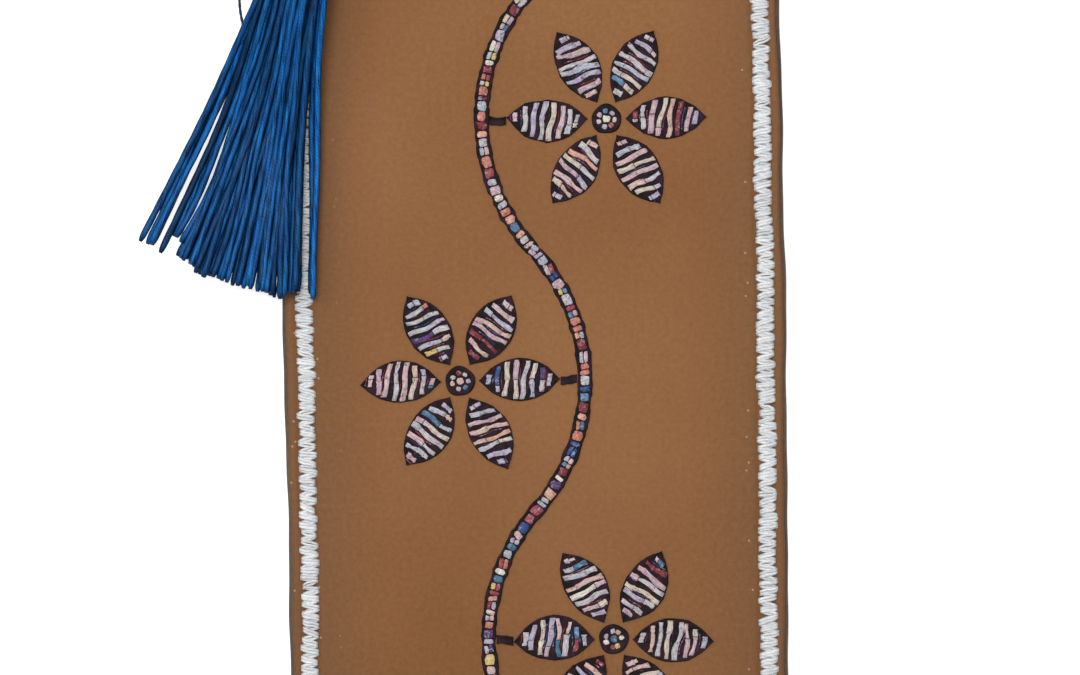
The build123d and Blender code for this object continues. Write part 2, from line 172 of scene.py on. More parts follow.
def backing_leather():
    """The same hide flesh side out: a short dull nap, dark and fibrous where the knife cut the edge."""
    material, add = start_material("suede_split_leather", Roughness=0.85, Sheen_Weight=0.15)
    place = add("TexCoord")["Object"]
    inset = add("Attribute", attribute_name="inset")["Fac"]
    nap = add("TexNoise", {"Vector": place, "Scale": per(0.45), "Detail": 5.0, "Roughness": 0.7})["Fac"]
    clouds = add("TexNoise", {"Vector": place, "Scale": per(9), "Detail": 2.0})["Fac"]
    mixed = add("Math", [nap, clouds], operation="ADD")[0]
    share = add("MapRange", [mixed, 0.75, 1.25])[0]
    brown = add("Mix", {0: share, 6: srgb("#6b5038"), 7: srgb("#846549")}, data_type="RGBA")[2]
    rim = add("Mix", {0: share, 6: srgb("#453a30"), 7: srgb("#62503f")}, data_type="RGBA")[2]
    cut = add("MapRange", [inset, 0.75, 0.05])[0]
    brown = add("Mix", {0: cut, 6: brown, 7: rim}, data_type="RGBA")[2]
    return finish(material, brown, nap, strength=0.6, depth=0.1)


def spun_thread(name, dark, light, other, across, along, slant, twisted, around, crease_shade, **values):
    """A spun thread: fibres and a share of fine twist lines at a slant, over each length's own tone.

    The dye took unevenly, so the bright fibres go from one light colour to the other along each length.
    The map of each thread is in mm, so across and along are a fibre's breadth and length in mm. The flanks,
    where threads lie against each other, get painted shade by crease_shade: a cosine of twice the way
    round. A crease_shade below 0 paints the shade on the quarters between.
    """
    material, add = start_material(name, **values)
    laid = add("TexCoord")["UV"]
    turn, tilt = ((0, 0, math.radians(degrees)) for degrees in (slant, 52))
    fibre = {"Vector": laid, "Rotation": turn, "Scale": (across, along, 1.0)}
    turned = add("Mapping", fibre, vector_type="TEXTURE")[0]
    fibres = add("TexNoise", {"Vector": turned, "Scale": 1.0, "Detail": 2.0, "Roughness": 0.6})["Fac"]
    tilted = add("Mapping", {"Vector": laid, "Rotation": tilt}, vector_type="TEXTURE")[0]
    # One twist line in 0.3 mm, coarser than the real one so that it shows
    lines = {"Scale": 1.05, "Distortion": 4.0, "Detail": 2.0, "Detail Scale": 1.2}
    twist = add("TexWave", {"Vector": tilted, **lines})["Fac"]
    both = add("Mix", {0: twisted, 2: fibres, 3: twist})[0]
    share = add("MapRange", [both, 0.33, 0.67])[0]
    lengths = add("Mapping", {"Vector": laid, "Scale": (1.1, 8.0, 1.0)}, vector_type="TEXTURE")[0]
    patches = add("TexNoise", {"Vector": lengths, "Scale": 1.0, "Detail": 1.0})["Fac"]
    dyed = add("MapRange", [patches, 0.35, 0.65])[0]
    bright = add("Mix", {0: dyed, 6: srgb(light), 7: srgb(other)}, data_type="RGBA")[2]
    colour = add("Mix", {0: share, 6: srgb(dark), 7: bright}, data_type="RGBA")[2]
    tone = add("Attribute", attribute_name="tone")["Fac"]
    # Painted shade: the flanks, or the quarters between, are darkened as if shaded where threads lie against
    # each other
    round_way = add("SeparateXYZ", [laid])[0]
    flank_shade = add("Math", [round_way, 2 * TURN / around], operation="MULTIPLY")[0]
    flank_shade = add("Math", [flank_shade], operation="COSINE")[0]
    flank_shade = add("MapRange", [flank_shade, -1.0, 1.0, 1 + min(crease_shade, 0), 1 - max(crease_shade, 0)])[0]
    tone = add("Math", [tone, flank_shade], operation="MULTIPLY")[0]
    colour = add("VectorMath", {0: colour, "Scale": tone}, operation="SCALE")[0]
    return finish(material, colour, both, strength=0.6, depth=0.05)


def black_ground():
    """Black paper under the collage, its rim gone over with a thick ink line: dull, faintly plum inside."""
    material, add = start_material("black_inked_paper", Roughness=0.6, Specular_IOR_Level=0.1)
    place = add("TexCoord")["Object"]
    blots = add("TexNoise", {"Vector": place, "Scale": per(0.9), "Detail": 3.0})["Fac"]
    share = add("MapRange", [blots, 0.42, 0.62])[0]
    colour = add("Mix", {0: share, 6: srgb("#120d0e"), 7: srgb("#2e1a24")}, data_type="RGBA")[2]
    return finish(material, colour, blots, strength=0.4, depth=0.08)


def cut_paper():
    """Magazine paper cut in strips: each bit has its own tint, with streaks and flecks of old print."""
    material, add = start_material("printed_magazine_paper", Roughness=0.5, Specular_IOR_Level=0.2)
    place = add("TexCoord")["Object"]
    laid = add("TexCoord")["UV"]
    tint = add("Attribute", attribute_name="tint")["Color"]
    # Print dots are far finer than this: flecks of 0.35 mm are drawn so that they show
    flecks = add("TexNoise", {"Vector": place, "Scale": per(0.35), "Detail": 2.0})["Color"]
    colour = add("Mix", {0: 0.42, 6: tint, 7: flecks}, data_type="RGBA", blend_type="OVERLAY")[2]
    blotches = {"Scale": per(0.55), "Detail": 4.0, "Roughness": 0.65, "Distortion": 1.4}
    printed = add("TexNoise", {"Vector": place, **blotches})["Fac"]
    for low, high, most, code in ((0.54, 0.7, 0.55, "#e6dedc"), (0.44, 0.3, 0.85, "#43263a")):
        share = add("MapRange", [printed, low, high, 0.0, most])[0]
        colour = add("Mix", {0: share, 6: colour, 7: srgb(code)}, data_type="RGBA")[2]
    stretched = add("Mapping", {"Vector": laid, "Scale": (0.05, 0.9, 1.0)}, vector_type="TEXTURE")[0]
    streaks = add("TexNoise", {"Vector": stretched, "Scale": 1.0, "Detail": 1.0})["Fac"]
    shade = add("MapRange", [streaks, 0.35, 0.6, 0.55, 1.08])[0]
    colour = add("VectorMath", {0: colour, "Scale": shade}, operation="SCALE")[0]
    return finish(material, colour, printed, strength=0.3, depth=0.05)


def white_floor():
    """A matte white table top. Where it is seen it glows a little, to read white round the shadow."""
    white, glow = srgb("#f4f4f4"), (1, 1, 1, 1)
    material, add = start_material("matte_white_table", Roughness=0.9, Base_Color=white, Emission_Color=glow)
    strength = add("Math", [seen_share(add), TABLE_GLOW], operation="MULTIPLY")[0]
    tree = material.node_tree
    tree.links.new(strength, tree.nodes["Principled BSDF"].inputs["Emission Strength"])
    return material


# Shells: closed skins through stacks of rings


def way_gone(path):
    """The way gone along paths[stack, row] at each row: the sum of the steps before it."""
    steps = np.linalg.norm(np.diff(path, axis=1), axis=-1)
    return np.concatenate([np.zeros((len(path), 1)), np.cumsum(steps, axis=1)], axis=1)


def face_corners(left, right, low, high):
    """Values at the corners of a skin's quads, and of its triangles at the poles: numbers or map places.

    Left and right are the values on both sides of each [stack, row, column], low and high those of the poles.
    """
    quads = np.stack([left[:, :-1], right[:, :-1], right[:, 1:], left[:, 1:]], 3)
    caps = np.stack([low, right[:, 0], left[:, 0]], 2), np.stack([high, left[:, -1], right[:, -1]], 2)
    rest = left.shape[3:]
    return quads.reshape(-1, 4, *rest), np.concatenate([cap.reshape(-1, 3, *rest) for cap in caps])


def shell(rings, around=1.0, tone=None, tint=None):
    """Closed skin through stacks of rings: rings[stack, row, column] in mm, wrapped round the columns.

    The first and last ring of a stack close on a pole at their mean. The map runs in mm: across by the share
    of the way round times around, along by the way that the ring centres have gone, from another start for
    each stack, so that no two show the same fibres. Tone is a shade for each stack and row, tint a colour for
    each stack. Faces are turned where the first stack's volume is negative.
    """
    stacks, rows, columns, _ = rings.shape
    index = np.arange(stacks * rows * columns).reshape(stacks, rows, columns)
    pole = stacks * rows * columns + np.arange(2 * stacks).reshape(2, stacks, 1)
    low, high = np.broadcast_to(pole, (2, stacks, columns))
    quads, caps = face_corners(index, np.roll(index, -1, axis=2), low, high)
    centres = rings.mean(axis=2)
    points = np.concatenate([rings.reshape(-1, 3), centres[:, 0], centres[:, -1]])
    gone = way_gone(centres) + MAP_STEP * np.arange(stacks)[:, None]
    across = np.arange(columns + 1) / columns * around
    grid = np.stack(np.broadcast_arrays(across, gone[:, :, None]), -1)
    left, right = grid[:, :, :-1], grid[:, :, 1:]
    half = (left + right) / 2
    quad_map, cap_map = face_corners(left, right, half[:, 0], half[:, -1])
    first = quads[: (rows - 1) * columns]
    a, b, c, d = (points[first[:, k]] - points[first[0, 0]] for k in range(4))
    volume = (np.cross(a, b) * c).sum() + (np.cross(a, c) * d).sum()
    if volume < 0:
        quads, caps, quad_map, cap_map = (faces[:, ::-1] for faces in (quads, caps, quad_map, cap_map))
    marks = {}
    if tone is not None:
        shade = np.broadcast_to(tone, (stacks, rows))
        marks["tone"] = np.concatenate([np.repeat(shade.ravel(), columns), shade[:, 0], shade[:, -1]])
    if tint is not None:
        marks["tint"] = np.concatenate([np.repeat(tint, rows * columns, axis=0), tint, tint])
    return dict(points=points, quads=quads, caps=caps, quad_map=quad_map, cap_map=cap_map, marks=marks)


def put(name, data):
    """A new object in the scene."""
    made = bpy.data.objects.new(name, data)
    bpy.context.scene.collection.objects.link(made)
    return made


def make_piece(name, shells, material):
    """One smooth mesh piece of several shells, with their map and marks."""
    counts = np.cumsum([0] + [len(s["points"]) for s in shells])
    points = np.concatenate([s["points"] for s in shells]) * MM
    quads = np.concatenate([s["quads"] + n for s, n in zip(shells, counts)])
    caps = np.concatenate([s["caps"] + n for s, n in zip(shells, counts)])
    laid = [s["quad_map"].reshape(-1, 2) for s in shells] + [s["cap_map"].reshape(-1, 2) for s in shells]
    mesh = bpy.data.meshes.new(name)
    mesh.from_pydata(points.tolist(), [], quads.tolist() + caps.tolist())
    mesh.uv_layers.new(name="laid").data.foreach_set("uv", np.concatenate(laid).astype(np.float32).ravel())
    for mark in shells[0]["marks"]:
        values = np.concatenate([s["marks"][mark] for s in shells]).astype(np.float32)
        kind, field = ("FLOAT", "value") if values.ndim == 1 else ("FLOAT_COLOR", "color")
        mesh.attributes.new(mark, kind, "POINT").data.foreach_set(field, values.ravel())
    mesh.polygons.foreach_set("use_smooth", np.ones(len(mesh.polygons), bool))
    mesh.materials.append(material)
    mesh.update()
    return put(name, mesh)


def place_piece(piece, body, slot, *nodes):
    """A piece rides on a body and stands for the CAD nodes named, which are hidden. The slot is not used."""
    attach(piece, body)
    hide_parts(*nodes)


def cross_rings(path, reference, high, wide):
    """Rings square to paths[stack, row]: high along the side nearest the reference, wide along the other.

    Each ring point is the centre plus high times the cosine and wide times the sine of the way round. Both
    are arrays that spread over [stack, row, column].
    """
    way = np.gradient(path, axis=1)
    way /= np.linalg.norm(way, axis=-1, keepdims=True)
    side = reference - (reference * way).sum(-1, keepdims=True) * way
    side /= np.linalg.norm(side, axis=-1, keepdims=True)
    other = np.cross(way, side)
    columns = np.broadcast_shapes(high.shape, wide.shape)[-1]
    angle = np.arange(columns) / columns * TURN
    along_side = (high * np.cos(angle))[..., None] * side[:, :, None]
    return path[:, :, None] + along_side + (wide * np.sin(angle))[..., None] * other[:, :, None]


def to_tassel(points):
    """Points given across, up and along the tassel from its knot, in the bookmark's frame."""
    across = np.array([math.cos(LEAN), -math.sin(LEAN), 0])
    along = np.array([-math.sin(LEAN), -math.cos(LEAN), 0])
    return KNOT + points[..., :1] * across + points[..., 1:2] * UP + points[..., 2:] * along


def swept(radius, angle, along):
    """Points round an axis: the radius times the cosine and sine of the angle, and the way along."""
    return np.stack(np.broadcast_arrays(radius * np.cos(angle), radius * np.sin(angle), along), -1)


def bearings(heading):
    """Unit vectors ahead and aside for headings on the face."""
    return swept(1, heading, 0), np.stack([-np.sin(heading), np.cos(heading), 0 * heading], -1)


def smooth(share):
    """Smooth step from 0 to 1."""
    share = np.clip(share, 0, 1)
    return share * share * (3 - 2 * share)


# Camera, light and floor

scene = bpy.context.scene
scene.view_settings.view_transform = "Standard"
lens = bpy.data.cameras.new("overhead_camera")
lens.lens, lens.sensor_width = 135.0, 36.0
camera = put("overhead_camera", lens)
camera.location = (0.55 * MM, -8.75 * MM, 407 * MM)
camera.rotation_euler = (0, 0, math.radians(-0.8))
scene.camera = camera

# Place and size in metres, power in watts
for name, place, size, power in (
    ("overhead_softbox", (-0.06, 0.1, 0.62), 0.24, 2.1),
    ("window_left", (-0.42, 0.2, 0.4), 0.4, 0.7),
):
    lamp = bpy.data.lights.new(name, "AREA")
    lamp.size, lamp.energy = size, power
    holder = put(name, lamp)
    holder.location = place
    holder.rotation_euler = holder.location.to_track_quat("Z", "Y").to_euler()

world = bpy.data.worlds.new("soft_studio")
world.use_nodes = True
scene.world = world
room = partial(node, world.node_tree)
soft_light, white_room = (
    room("Background", {"Color": (1, 1, 1, 1), "Strength": strength})[0] for strength in (ROOM_LIGHT, 1.0)
)
either = room("MixShader", [seen_share(room), soft_light, white_room])[0]
world.node_tree.links.new(either, world.node_tree.nodes["World Output"].inputs["Surface"])

# Half the table's size and its level, in metres
TABLE_HALF, TABLE_LEVEL = 1.5, -0.0001
table = bpy.data.meshes.new("table_top")
corners = [(TABLE_HALF * x, TABLE_HALF * y, TABLE_LEVEL) for x, y in ((-1, -1), (1, -1), (1, 1), (-1, 1))]
table.from_pydata(corners, [], [(0, 1, 2, 3)])
table.materials.append(white_floor())
floor = put("table_top", table)


# Cord: the route's points are the part's own, with one more beside each tight corner

BLUE_YARN = spun_thread(
    "twisted_viscose_yarn", dark="#01133a", light="#1b71b0", other="#1261b0", across=0.17, along=3.4,
    slant=8.0, twisted=0.08, around=YARN_AROUND, crease_shade=-0.88, Roughness=0.36, Specular_IOR_Level=0.09,
)
CORD_ROUTE = [
    (-19.3, 43.9, 6.52), (-17.6, 48.9, 5.82), (-15.2, 55.9, 3.3), (-11.8, 65.3, 2.5), (-8.2, 74.7, 2.5),
    (-3.3, 84.8, 2.5), (-0.76, 91.0, 2.5), (0.0, 92.85, 2.5), (0.0, 92.85, 0.5), (0.0, 94.85, 0.5),
    (0.0, 98.88, 0.5), (0.0, 101.3, 0.5), (0.0, 101.3, 2.92), (0.42, 98.92, 2.92), (1.0, 95.6, 2.92),
    (1.3, 89.4, 2.5), (-0.6, 82.4, 2.5), (-5.2, 74.9, 2.5), (-9.6, 64.7, 2.5), (-13.8, 55.3, 3.3),
    (-16.5, 48.5, 5.82), (-18.3, 43.5, 6.52),
]


def route_line(name, points):
    """Points in mm along the NURBS spline of order 3 that has the route as its control points."""
    curve = bpy.data.curves.new(name, "CURVE")
    curve.dimensions, curve.resolution_u = "3D", 24
    spline = curve.splines.new("NURBS")
    spline.points.add(len(points) - 1)
    places = np.column_stack([np.array(points) * MM, np.ones(len(points))])
    spline.points.foreach_set("co", places.astype(np.float32).ravel())
    spline.order_u, spline.use_endpoint_u = 3, True
    holder = put(name, curve)
    bpy.context.view_layer.update()
    line = bpy.data.meshes.new_from_object(holder)
    found = np.zeros(3 * len(line.vertices), np.float32)
    line.vertices.foreach_get("co", found)
    bpy.data.objects.remove(holder)
    bpy.data.curves.remove(curve)
    bpy.data.meshes.remove(line)
    return found.reshape(-1, 3).astype(float) / MM


def twisted_tube(path, reference, radius, columns, plies, lay, depth):
    """Rings of a plied thread along paths[stack, row]. Its radius is a number or an array of [stack, row].

    It has a hump for each ply, the size of a cosine, that turns once round in every lay length.
    """
    angle = np.arange(columns) / columns * TURN
    hump = np.abs(np.cos(plies / 2 * (angle - TURN * way_gone(path)[..., None] / lay)))
    rounded = np.broadcast_to(radius, path.shape[:2])[..., None] * (1 - depth + depth * hump)
    return cross_rings(path, reference, rounded, rounded)


cord_line = route_line("cord_route", CORD_ROUTE)
cord_rings = twisted_tube(cord_line[None], ACROSS, radius=0.46, columns=12, plies=3, lay=3.2, depth=0.22)
cord = make_piece("cord_loop", [shell(cord_rings, YARN_AROUND, tone=[1.15])], BLUE_YARN)
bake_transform(cord)
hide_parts("hanging_cord")


def overhand_knot():
    """The knot of the cord's ends: a trefoil on a ring, one way round it for two turns along, pulled tight.

    Its line is (2 + cos 3t) times the cosine and sine of 2t across, and sin 3t along, scaled to the cord.
    """
    t = np.linspace(0, TURN, 97)
    ring, lift = 0.67, 0.45
    line = to_tassel(swept(ring / 2 * (2 + np.cos(3 * t)), 2 * t, lift * np.sin(3 * t)))[None]
    core = to_tassel(swept(ring, 2 * t, 0))[None]
    rings = twisted_tube(line, line - core, radius=0.35, columns=10, plies=3, lay=3.2, depth=0.2)
    return shell(rings, YARN_AROUND, tone=[1.05])


place_piece(make_piece("overhand_knot", [overhand_knot()], BLUE_YARN), "cord", "tassel_cord", "cord_knot")


# Leather layers

# Points of a ring along a long side, a short side and a corner
LONG_STEPS, SHORT_STEPS, ARC_STEPS = 400, 100, 11


def panel_rings(half_x, half_y, corner, profile, wave):
    """Rings round a rounded rectangle for a profile of (inset, height, scale, lie) rows.

    A ring is the rectangle moved in by the inset, with hand-cut waves that fade inwards, then drawn towards
    the middle by the scale. Lie is how far a row follows the gentle swells of the hide.
    """
    long = np.linspace(-1, 1, LONG_STEPS + 2)[1:-1]
    short = np.linspace(-1, 1, SHORT_STEPS + 2)[1:-1]
    arc = np.linspace(0, 1, ARC_STEPS)
    # Each side and corner in turn: its place by shares of the half sizes, and its facing in quarter turns
    runs = [(1, long, 0), (1, 1, arc), (-short, 1, 1), (-1, 1, 1 + arc)]
    runs += [(-1, -long, 2), (-1, -1, 2 + arc), (short, -1, 3), (1, -1, 3 + arc)]
    kx, ky, quarter = np.concatenate([np.stack(np.broadcast_arrays(*run)) for run in runs], axis=1)
    angle = quarter * math.pi / 2
    inset, height, scale, lie = (np.array(column)[:, None] for column in zip(*profile))
    radius = np.maximum(corner - inset, 0.3)
    out = wave(kx * half_x, ky * half_y, np.cos(angle)) * np.exp(-inset / 5)
    x = (kx * (half_x - inset - radius) + (radius + out) * np.cos(angle)) * scale
    y = (ky * (half_y - inset - radius) + (radius + out) * np.sin(angle)) * scale
    return np.stack([x, y, height + lie * hide_swell(x, y)], -1)[None]


def cut_waves(x, y, facing):
    """How far the hand-cut long edges stray outwards, in mm: one slow wave each, and small ones all round."""
    right = 0.05 + 0.1 * np.cos(TURN * (y - 14.5) / 23) + 0.1 * np.cos(TURN * (y + 6) / 75)
    left = 0.18 * np.cos(TURN * y / 80)
    small = 0.04 * np.sin(TURN * (x + y) / 17) + 0.025 * np.sin(TURN * (y - 0.7 * x) / 7.3)
    return np.maximum(facing, 0) * right + np.maximum(-facing, 0) * left + small


def backing_waves(x, y, facing):
    """The backing was cut with the face layer, so it strays with it, and a little by itself."""
    return cut_waves(x, y, facing) + 0.06 * np.sin(TURN * (y + 2 * x) / 23)


def hide_swell(x, y):
    """Gentle swells of the face, in mm."""
    return 0.025 * np.sin(x / 6.1 + y / 13.7) + 0.02 * np.sin(x / 4.3 - y / 9.1)


def cut_away(piece, *cuts):
    """Takes closed shells through stacks of rings out of a piece."""
    tools = [make_piece("cutter", [shell(rings[None])], LEATHER) for rings in cuts]
    for tool in tools:
        modifier = piece.modifiers.new("cut", "BOOLEAN")
        modifier.operation, modifier.solver, modifier.object = "DIFFERENCE", "EXACT", tool
    bpy.context.view_layer.update()
    mesh = bpy.data.meshes.new_from_object(piece.evaluated_get(bpy.context.evaluated_depsgraph_get()))
    piece.modifiers.clear()
    piece.data = mesh
    for tool in tools:
        bpy.data.objects.remove(tool)


def hole_rings():
    """The punched hole: circles from under the bookmark to above it."""
    angle = np.arange(48) / 48 * TURN
    return swept(HOLE_RADIUS, angle, np.array([[-1.0], [1.5], [4.0]])) + HOLE_Y * LENGTHWISE


def slot_rings():
    """The cord's channel in the back, from the hole out past the top edge, with a round bottom."""
    angle = np.linspace(0, math.pi, 13)
    half = SLOT_WIDTH / 2
    arch = np.stack([half * np.cos(angle), SLOT_DEPTH - half + half * np.sin(angle)], -1)
    loop = np.concatenate([[[half, -0.5]], arch, [[-half, -0.5]]])
    ys = np.array([HOLE_Y, HOLE_Y + 4, HALF_LENGTH + 2])
    return np.stack(np.broadcast_arrays(loop[:, 0], ys[:, None], loop[:, 1]), -1)


LEATHER = face_leather()
# Layers are flat from this inset on, where rings go on by scale. Their middles have a mark of their own.
FLAT_INSET, MIDDLE_MARK = 4.5, 24.0
INWARDS = [0.9, 0.75, 0.55, 0.35, 0.15]
# Rows of inset, height and lie, from under a layer out round its edge: the seam's groove is on the face of
# the one and the bobbin's in the back of the other
FACE_ROWS = [
    (FLAT_INSET, MIDDLE, 0), (1.2, MIDDLE, 0), (0.1, MIDDLE, 0), (0, 1.08, 0), (0, 1.4, 0), (0.01, 1.7, 0),
    (0.05, 1.86, 0), (0.14, 1.96, 0.3), (0.27, 2.01, 0.5), (0.45, 2.03, 0.6), (0.62, 2.02, 0.6),
    (0.78, 1.97, 0.6), (0.92, 1.9, 0.6), (1.15, 1.87, 0.6), (1.77, 1.86, 0.6), (2.4, 1.87, 0.6),
    (2.63, 1.9, 0.6), (2.77, 1.97, 0.7), (2.95, 2.01, 0.8), (3.3, 2.02, 0.9), (FLAT_INSET, FACE, 1),
]
BACK_ROWS = [
    (FLAT_INSET, 0, 0), (3.35, 0, 0), (3.22, 0.03, 0), (3.15, 0.15, 0), (3.12, 0.32, 0), (2.9, 0.36, 0),
    (1.45, 0.36, 0), (1.2, 0.32, 0), (1.17, 0.15, 0), (1.1, 0.03, 0), (0.95, 0, 0), (0.3, 0, 0),
    (0.12, 0.03, 0), (0.03, 0.13, 0), (0, 0.3, 0), (0, 0.7, 0), (0.04, 0.88, 0), (0.14, 0.97, 0),
    (0.3, MIDDLE, 0), (0.7, MIDDLE, 0), (FLAT_INSET, MIDDLE, 0),
]


def layer_profile(rows):
    """A layer's whole profile: its rows at full scale, and its first and last row drawn in to the middle."""
    full = [(inset, height, 1, lie) for inset, height, lie in rows]
    inwards = [[(inset, height, s, lie) for s in INWARDS] for inset, height, lie in (rows[0], rows[-1])]
    return inwards[0][::-1] + full + inwards[1]


def leather_layer(name, larger, rows, wave, material):
    """One layer of hide, larger than the face layer by a rim, with the distance from its cut edge as mark."""
    half_x, half_y = HALF_WIDTH + larger, HALF_LENGTH + larger
    profile = layer_profile(rows)
    rings = panel_rings(half_x, half_y, CORNER + larger, profile, wave)
    made = shell(rings)
    points = np.abs(made["points"])
    inner = np.minimum(half_x - points[:, 0], half_y - points[:, 1])
    cut_off = np.concatenate([np.repeat([row[0] for row in profile], rings.shape[2]), [MIDDLE_MARK] * 2])
    made["marks"]["inset"] = np.where(cut_off < FLAT_INSET, cut_off, inner)
    return make_piece(name, [made], material)


front = leather_layer("face_leather", 0.0, FACE_ROWS, cut_waves, LEATHER)
cut_away(front, hole_rings())
place_piece(front, "panel", "face_leather", "front_leather")
back = leather_layer("back_leather", OVERHANG, BACK_ROWS, backing_waves, backing_leather())
cut_away(back, hole_rings(), slot_rings())
place_piece(back, "panel", "backing_leather", "backing_leather")


# Seam threads


def zigzag(run, thread, height, seed):
    """Rings and tones of a row of zigzag stitches along X, two plies each, arched from hole to hole.

    Across, a stitch goes by a cosine, so that it dips into its holes. Along, it does the same with a sine of
    a whole turn added, so that it spreads at its holes and lies square to the row between them. Its height
    is a power of a sine. The plies lie side by side and wind half round each other, and places, thickness
    and height stray. A stitch gets painted shade where it goes down into its holes, for the shadow in them.
    """
    luck = np.random.default_rng(seed)
    count = round(run / STITCH_STEP)
    hole_inset, hole_depth = 0.16, 0.16
    along = (np.arange(count + 1) / count - 0.5) * run + luck.normal(0, 0.1, count + 1)
    sides = np.where(np.arange(count + 1) % 2 == 0, 1.0, -1.0)
    across = sides * (SEAM_WIDTH / 2 - hole_inset) + luck.normal(0, 0.07, count + 1)
    share = np.array([0, 0.08, 0.22, 0.4, 0.6, 0.78, 0.92, 1.0])
    swing = (1 - np.cos(math.pi * share)) / 2
    fat = luck.normal(1, 0.15, (count, 1)).clip(0.7, 1.4)
    arch = np.sin(math.pi * share).clip(0) ** 0.45
    thick = height * 0.36 * fat
    spread = luck.uniform(0.3, 1.1, (count, 1)) * np.sin(TURN * swing) / TURN
    s = along[:-1, None] + np.diff(along)[:, None] * (swing + spread)
    c = across[:-1, None] + np.diff(across)[:, None] * swing + luck.normal(0, 0.02, (count, 8))
    h = -hole_depth + (height * luck.normal(0.82, 0.07, (count, 1)) - thick + hole_depth) * arch
    h = h + 0.04 * sides[1:, None] * arch
    wind = luck.normal(0, 0.45, (count, 1)) + 1.1 * (share - 0.5)
    gap = thread * 0.27 * (1.2 - 0.2 * arch)
    plies = [np.stack([s + k * gap * np.cos(wind), c, h + k * 0.4 * gap * np.sin(wind)], -1) for k in (1, -1)]
    half = np.concatenate([thread * 0.35 * fat * (1.1 - 0.1 * arch)] * 2)[..., None] * np.ones(7)
    high = np.concatenate([thick * np.ones(8)] * 2)[..., None] * np.ones(7)
    rings = cross_rings(np.concatenate(plies), ACROSS, half, high)
    # Painted shade: each stitch darkens towards its ends, as if in the shadow of its needle holes
    hole_shade = 0.3 + 0.7 * smooth(share * (1 - share) / 0.13)
    return rings, np.clip(luck.normal(0.96, 0.05, (2 * count, 1)), 0.8, 1.04) * hole_shade


def seam_piece(name, run, thread, seed, place, wave, stands_for):
    """A row of stitches of a thread as its own piece, put in place by a function of its points."""
    breadth, height, level, up = thread
    rings, tone = zigzag(run, breadth, height, seed)
    rings[..., 1] += wave(rings[..., 0])
    rings[..., 2] = level + up * rings[..., 2]
    piece = make_piece(name, [shell(place(rings), THREAD_AROUND, tone=tone)], WHITE_THREAD)
    place_piece(piece, "panel", "seam_thread", stands_for)


def strayed(size, shift, length, out=0.0):
    """A slow wave of a hand-guided seam, moved out by a little."""
    return lambda s: out + size * np.sin(TURN * (s + shift) / length) + 0.05 * np.sin(TURN * (s - shift) / 19)


def long_row(side):
    """Puts a row along Y on one side: its length becomes Y and its breadth X."""
    return lambda p: np.stack([side * (SEAM_X + p[..., 1]), p[..., 0], p[..., 2]], -1)


def short_row(side, middle=0.0):
    """Puts a row along X at one end, about a middle."""
    return lambda p: np.stack([middle + p[..., 0], side * (SEAM_Y + p[..., 1]), p[..., 2]], -1)


WHITE_THREAD = spun_thread(
    "white_polyester_thread", dark="#cbcfd3", light="#fefefe", other="#f6f8f8", across=0.16, along=1.4,
    slant=14.0, twisted=0.06, around=THREAD_AROUND, crease_shade=0.42, Roughness=0.45, Specular_IOR_Level=0.3,
)
# Lengths of the rows; at the top the bobbin has two, on both sides of the cord
LONG_RUN, SHORT_RUN, HALF_RUN, HALF_MIDDLE = 197.9, 43.4, 20.8, 11.3
# Each thread's breadth and height, the level that its stitches rise from and which way
NEEDLE, BOBBIN = (0.56, 0.46, 1.93, 1), (0.42, 0.34, 0.37, -1)
for name, side, shift in (("left", -1, 9.0), ("right", 1, 31.0)):
    bow = strayed(0.1, shift, 93.0, 0.06 + 0.06 * side)
    row = long_row(side)
    seam_piece(f"needle_thread_{name}", LONG_RUN, NEEDLE, 3 + side, row, bow, f"seam_{name}")
    seam_piece(f"bobbin_thread_{name}", LONG_RUN, BOBBIN, 7 + side, row, bow, f"bobbin_{name}")
bow = strayed(0.06, 5.0, 50.0)
for name, side in (("bottom", -1), ("top", 1)):
    seam_piece(f"needle_thread_{name}", SHORT_RUN, NEEDLE, 13 + side, short_row(side), bow, f"seam_{name}")
bow = strayed(0.04, 5.0, 50.0)
seam_piece("bobbin_thread_bottom", SHORT_RUN, BOBBIN, 17, short_row(-1), bow, "bobbin_bottom")
for name, seed, middle in (("left", 18, -HALF_MIDDLE), ("right", 19, HALF_MIDDLE)):
    seam_piece(f"bobbin_thread_top_{name}", HALF_RUN, BOBBIN, seed, short_row(1, middle), bow, "bobbin_top")


# Collage

INK = black_ground()
PAPER = cut_paper()
PALE_TINTS, STRONG_TINTS, SLIVER_TINTS = (
    np.array([srgb(code) for code in codes.split()])
    for codes in (
        "#d2b3b6 #c6a7b0 #b5abc2 #c6c0c4 #d3c4b6 #b3b5c2 #d5b3a7 #beb8be",
        "#7c2d36 #30508a #d3bb74 #553a6a #c57a68 #4a7390 #e6dfd0 #9a4550 #d9a48c #5f86ac",
        "#6e1f2c #24325f #5a2a4c",
    )
)


def tints(luck, count, strong):
    """Linear colours drawn from the palette, with a given share of strong ones."""
    pale = PALE_TINTS[luck.integers(0, len(PALE_TINTS), count)]
    bright = STRONG_TINTS[luck.integers(0, len(STRONG_TINTS), count)]
    return np.where(luck.random(count)[:, None] < strong, bright, pale)


def flower_y(number):
    """Place of a flower along the bookmark."""
    return (number - (FLOWER_COUNT - 1) / 2) * FLOWER_PITCH


def petal_half(along):
    """Half a petal's width at a distance from its inner tip: two arcs, drawn in a little at both tips."""
    length = FLOWER_REACH - PETAL_START
    radius = (length**2 + PETAL_WIDTH**2) / (4 * PETAL_WIDTH)
    half = np.sqrt(np.maximum(radius**2 - (along - length / 2) ** 2, 0)) - (radius - PETAL_WIDTH / 2)
    return half * (1 - 0.4 * np.exp(-np.minimum(along, length - along) / 0.6))


